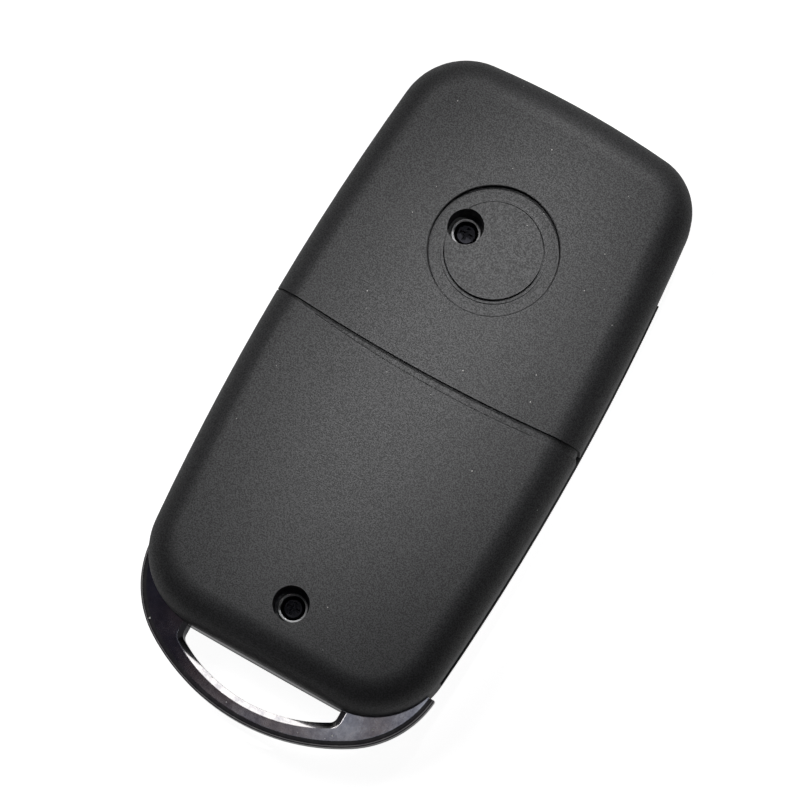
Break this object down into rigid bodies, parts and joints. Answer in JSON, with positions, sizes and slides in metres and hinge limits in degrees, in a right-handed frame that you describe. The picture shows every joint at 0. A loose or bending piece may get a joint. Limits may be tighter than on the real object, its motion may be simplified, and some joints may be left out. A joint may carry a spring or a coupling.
{
  "type": "flip key remote shell",
  "caption": "Rounded flip key case with a fold-out blade on a sprung hub, a release button, remote buttons, a round badge seat on its back and a bright key-ring loop.",
  "frame": {"origin": "centre of the whole key's footprint, on the plane of its button face", "axes": "+X towards the side that the blade folds into, +Y towards the hinge end, +Z out of the back"},
  "size_m": [0.038, 0.0774, 0.0155],
  "materials": {
    "case_plastic": "fine spark-eroded grain, matt black",
    "loop_chrome": "dark bright plating",
    "cap_chrome": "satin bright plating",
    "button_plastic": "smooth matt black",
    "pad_rubber": "matt silicone",
    "tray_plastic": "as moulded",
    "hub_metal": "satin black coat",
    "blade_steel": "nickel-plated, finely brushed",
    "washer_steel": "plain zinc",
    "spring_steel": "drawn wire",
    "screw_steel": "black zinc plating"
  },
  "bodies": {
    "case": {"rear_shell": "case_plastic", "front_shell": "case_plastic", "ring_loop": "loop_chrome", "hub_washer": "washer_steel", "button_pad": "pad_rubber", "board_tray": "tray_plastic", "flip_spring": "spring_steel", "case_screw_upper": "screw_steel", "case_screw_lower": "screw_steel"},
    "blade": {"blade_hub": "hub_metal", "hub_cover": "washer_steel", "key_blade": "blade_steel", "blade_pin": "spring_steel"},
    "release": {"release_cap": "cap_chrome", "latch_core": "washer_steel"},
    "lock": {"lock_button": "button_plastic"},
    "unlock": {"unlock_button": "button_plastic"},
    "boot": {"boot_button": "button_plastic"}
  },
  "joints": [
    {"name": "blade_flip", "type": "hinge", "parent": "case", "child": "blade", "pos_m": [0.0082, 0.02865, 0.00575], "axis": [0, 0, 1], "range_deg": [0, 180]},
    {"name": "release_press", "type": "slide", "parent": "case", "child": "release", "axis": [0, 0, 1], "range_m": [0, 0.0015], "stiffness_N_per_m": 900, "springref_m": -0.004, "deforming": ["flip_spring"]},
    {"name": "lock_press", "type": "slide", "parent": "case", "child": "lock", "axis": [0, 0, 1], "range_m": [0, 0.0006], "stiffness_N_per_m": 1500, "springref_m": -0.0006},
    {"name": "unlock_press", "type": "slide", "parent": "case", "child": "unlock", "axis": [0, 0, 1], "range_m": [0, 0.0006], "stiffness_N_per_m": 1500, "springref_m": -0.0006},
    {"name": "boot_press", "type": "slide", "parent": "case", "child": "boot", "axis": [0, 0, 1], "range_m": [0, 0.0006], "stiffness_N_per_m": 1500, "springref_m": -0.0006}
  ]
}
